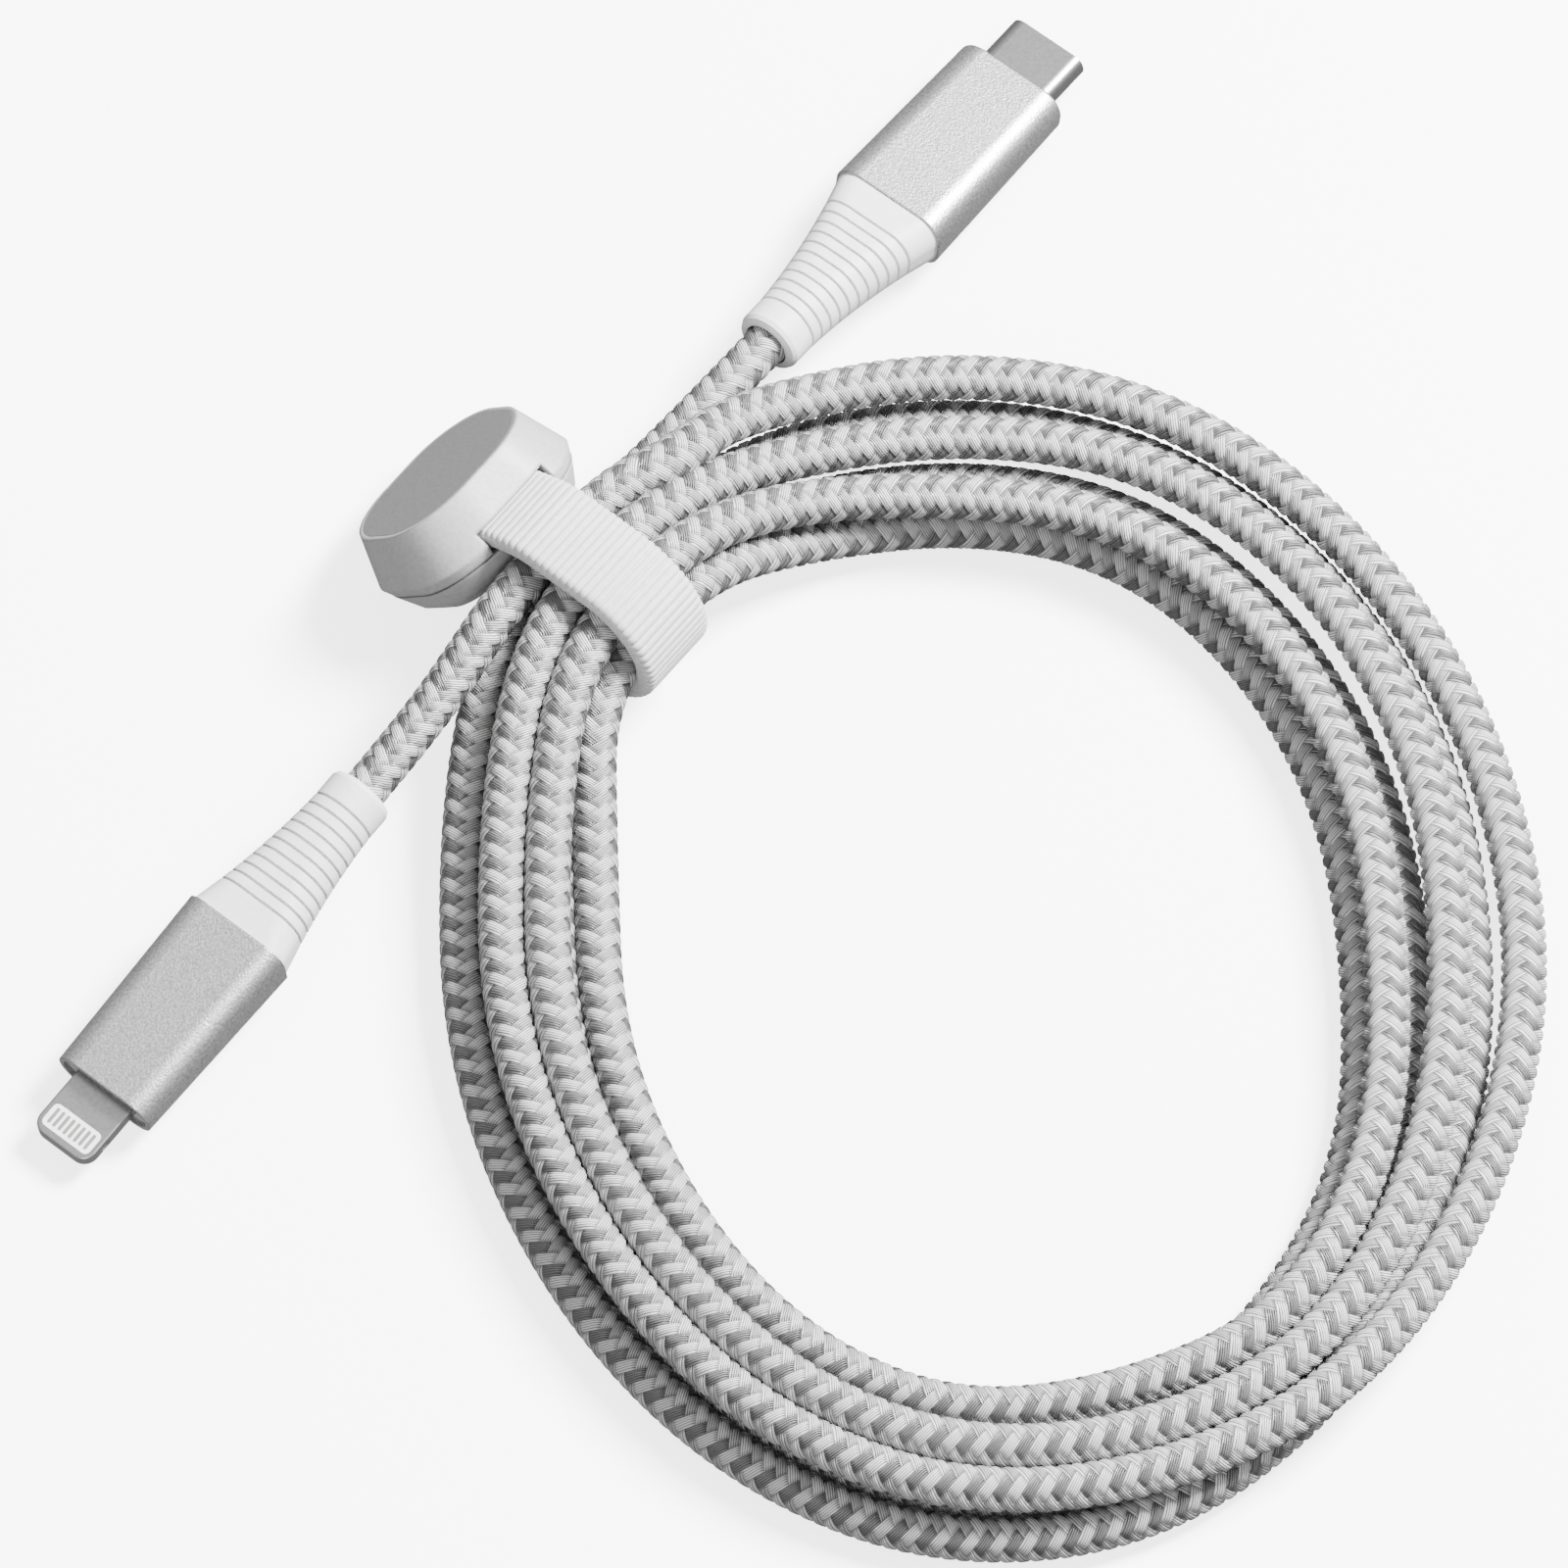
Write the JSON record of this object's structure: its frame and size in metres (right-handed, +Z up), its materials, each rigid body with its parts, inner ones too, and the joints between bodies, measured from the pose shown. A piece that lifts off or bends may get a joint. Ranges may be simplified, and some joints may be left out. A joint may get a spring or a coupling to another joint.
{
  "type": "charging cable",
  "caption": "Braided charging cable with a USB-C plug and a slim eight-contact plug, coiled and held by a ribbed strap with a magnetic clasp.",
  "frame": {"origin": "on the table, under the middle of the box that holds both plugs and the strap", "axes": "+Z up from the table; the USB-C plug points towards +X+Y, the coil lies towards +X-Y"},
  "size_m": [0.1394, 0.1616, 0.0186],
  "materials": {
    "board_green": "green solder mask",
    "boot_elastomer": "satin moulded elastomer",
    "cable_jacket": "smooth extruded jacket",
    "chip_black": "moulded black epoxy",
    "clasp_disc_grey": "satin, fine grain",
    "clasp_plastic": "fine moulded texture",
    "connector_steel": "fine satin",
    "contact_metal": "plated",
    "cord_braid": "braided white and light grey nylon",
    "crimp_brass": "crimped, bright",
    "housing_aluminium": "bead blasted and anodised silver",
    "inner_mould_plastic": "low-pressure moulding, satin",
    "insert_grey": "moulded, satin",
    "insulator_dark": "moulded",
    "insulator_white": "moulded, satin",
    "magnet_nickel": "nickel plated",
    "plate_steel": "plain",
    "strap_silicone": "matt, ribbed outside",
    "wire_insulation": "smooth extruded insulation"
  },
  "bodies": {
    "root": {"clasp_base": "clasp_plastic", "clasp_base_steel_plate": "plate_steel", "cord_coil": "cord_braid", "cord_tail_eight_pin": "cord_braid", "cord_tail_usb_c": "cord_braid", "eight_pin_board": "board_green", "eight_pin_board_components": "chip_black", "eight_pin_boot": "boot_elastomer", "eight_pin_cable_jacket_end": "cable_jacket", "eight_pin_contacts": "contact_metal", "eight_pin_crimp_ferrule": "crimp_brass", "eight_pin_front_insert": "insert_grey", "eight_pin_housing": "housing_aluminium", "eight_pin_inner_mould": "inner_mould_plastic", "eight_pin_insulator": "insulator_white", "eight_pin_tab": "connector_steel", "eight_pin_wires": "wire_insulation", "strap_band_lower": "strap_silicone", "usb_c_board": "board_green", "usb_c_board_components": "chip_black", "usb_c_boot": "boot_elastomer", "usb_c_cable_jacket_end": "cable_jacket", "usb_c_contacts": "contact_metal", "usb_c_crimp_ferrule": "crimp_brass", "usb_c_housing": "housing_aluminium", "usb_c_inner_mould": "inner_mould_plastic", "usb_c_insulator": "insulator_dark", "usb_c_latch_springs": "connector_steel", "usb_c_shell": "connector_steel", "usb_c_wires": "wire_insulation"},
    "strap_arm": {"strap_band_upper": "strap_silicone", "clasp_cap": "clasp_plastic", "clasp_disc": "clasp_disc_grey", "clasp_cap_magnet": "magnet_nickel"}
  },
  "joints": [
    {"name": "strap_opening", "type": "hinge", "parent": "root", "child": "strap_arm", "pos_m": [0.01078, -0.01122, 0.0103], "axis": [0.6293, 0.7771, 0], "range_deg": [0, 70]}
  ]
}
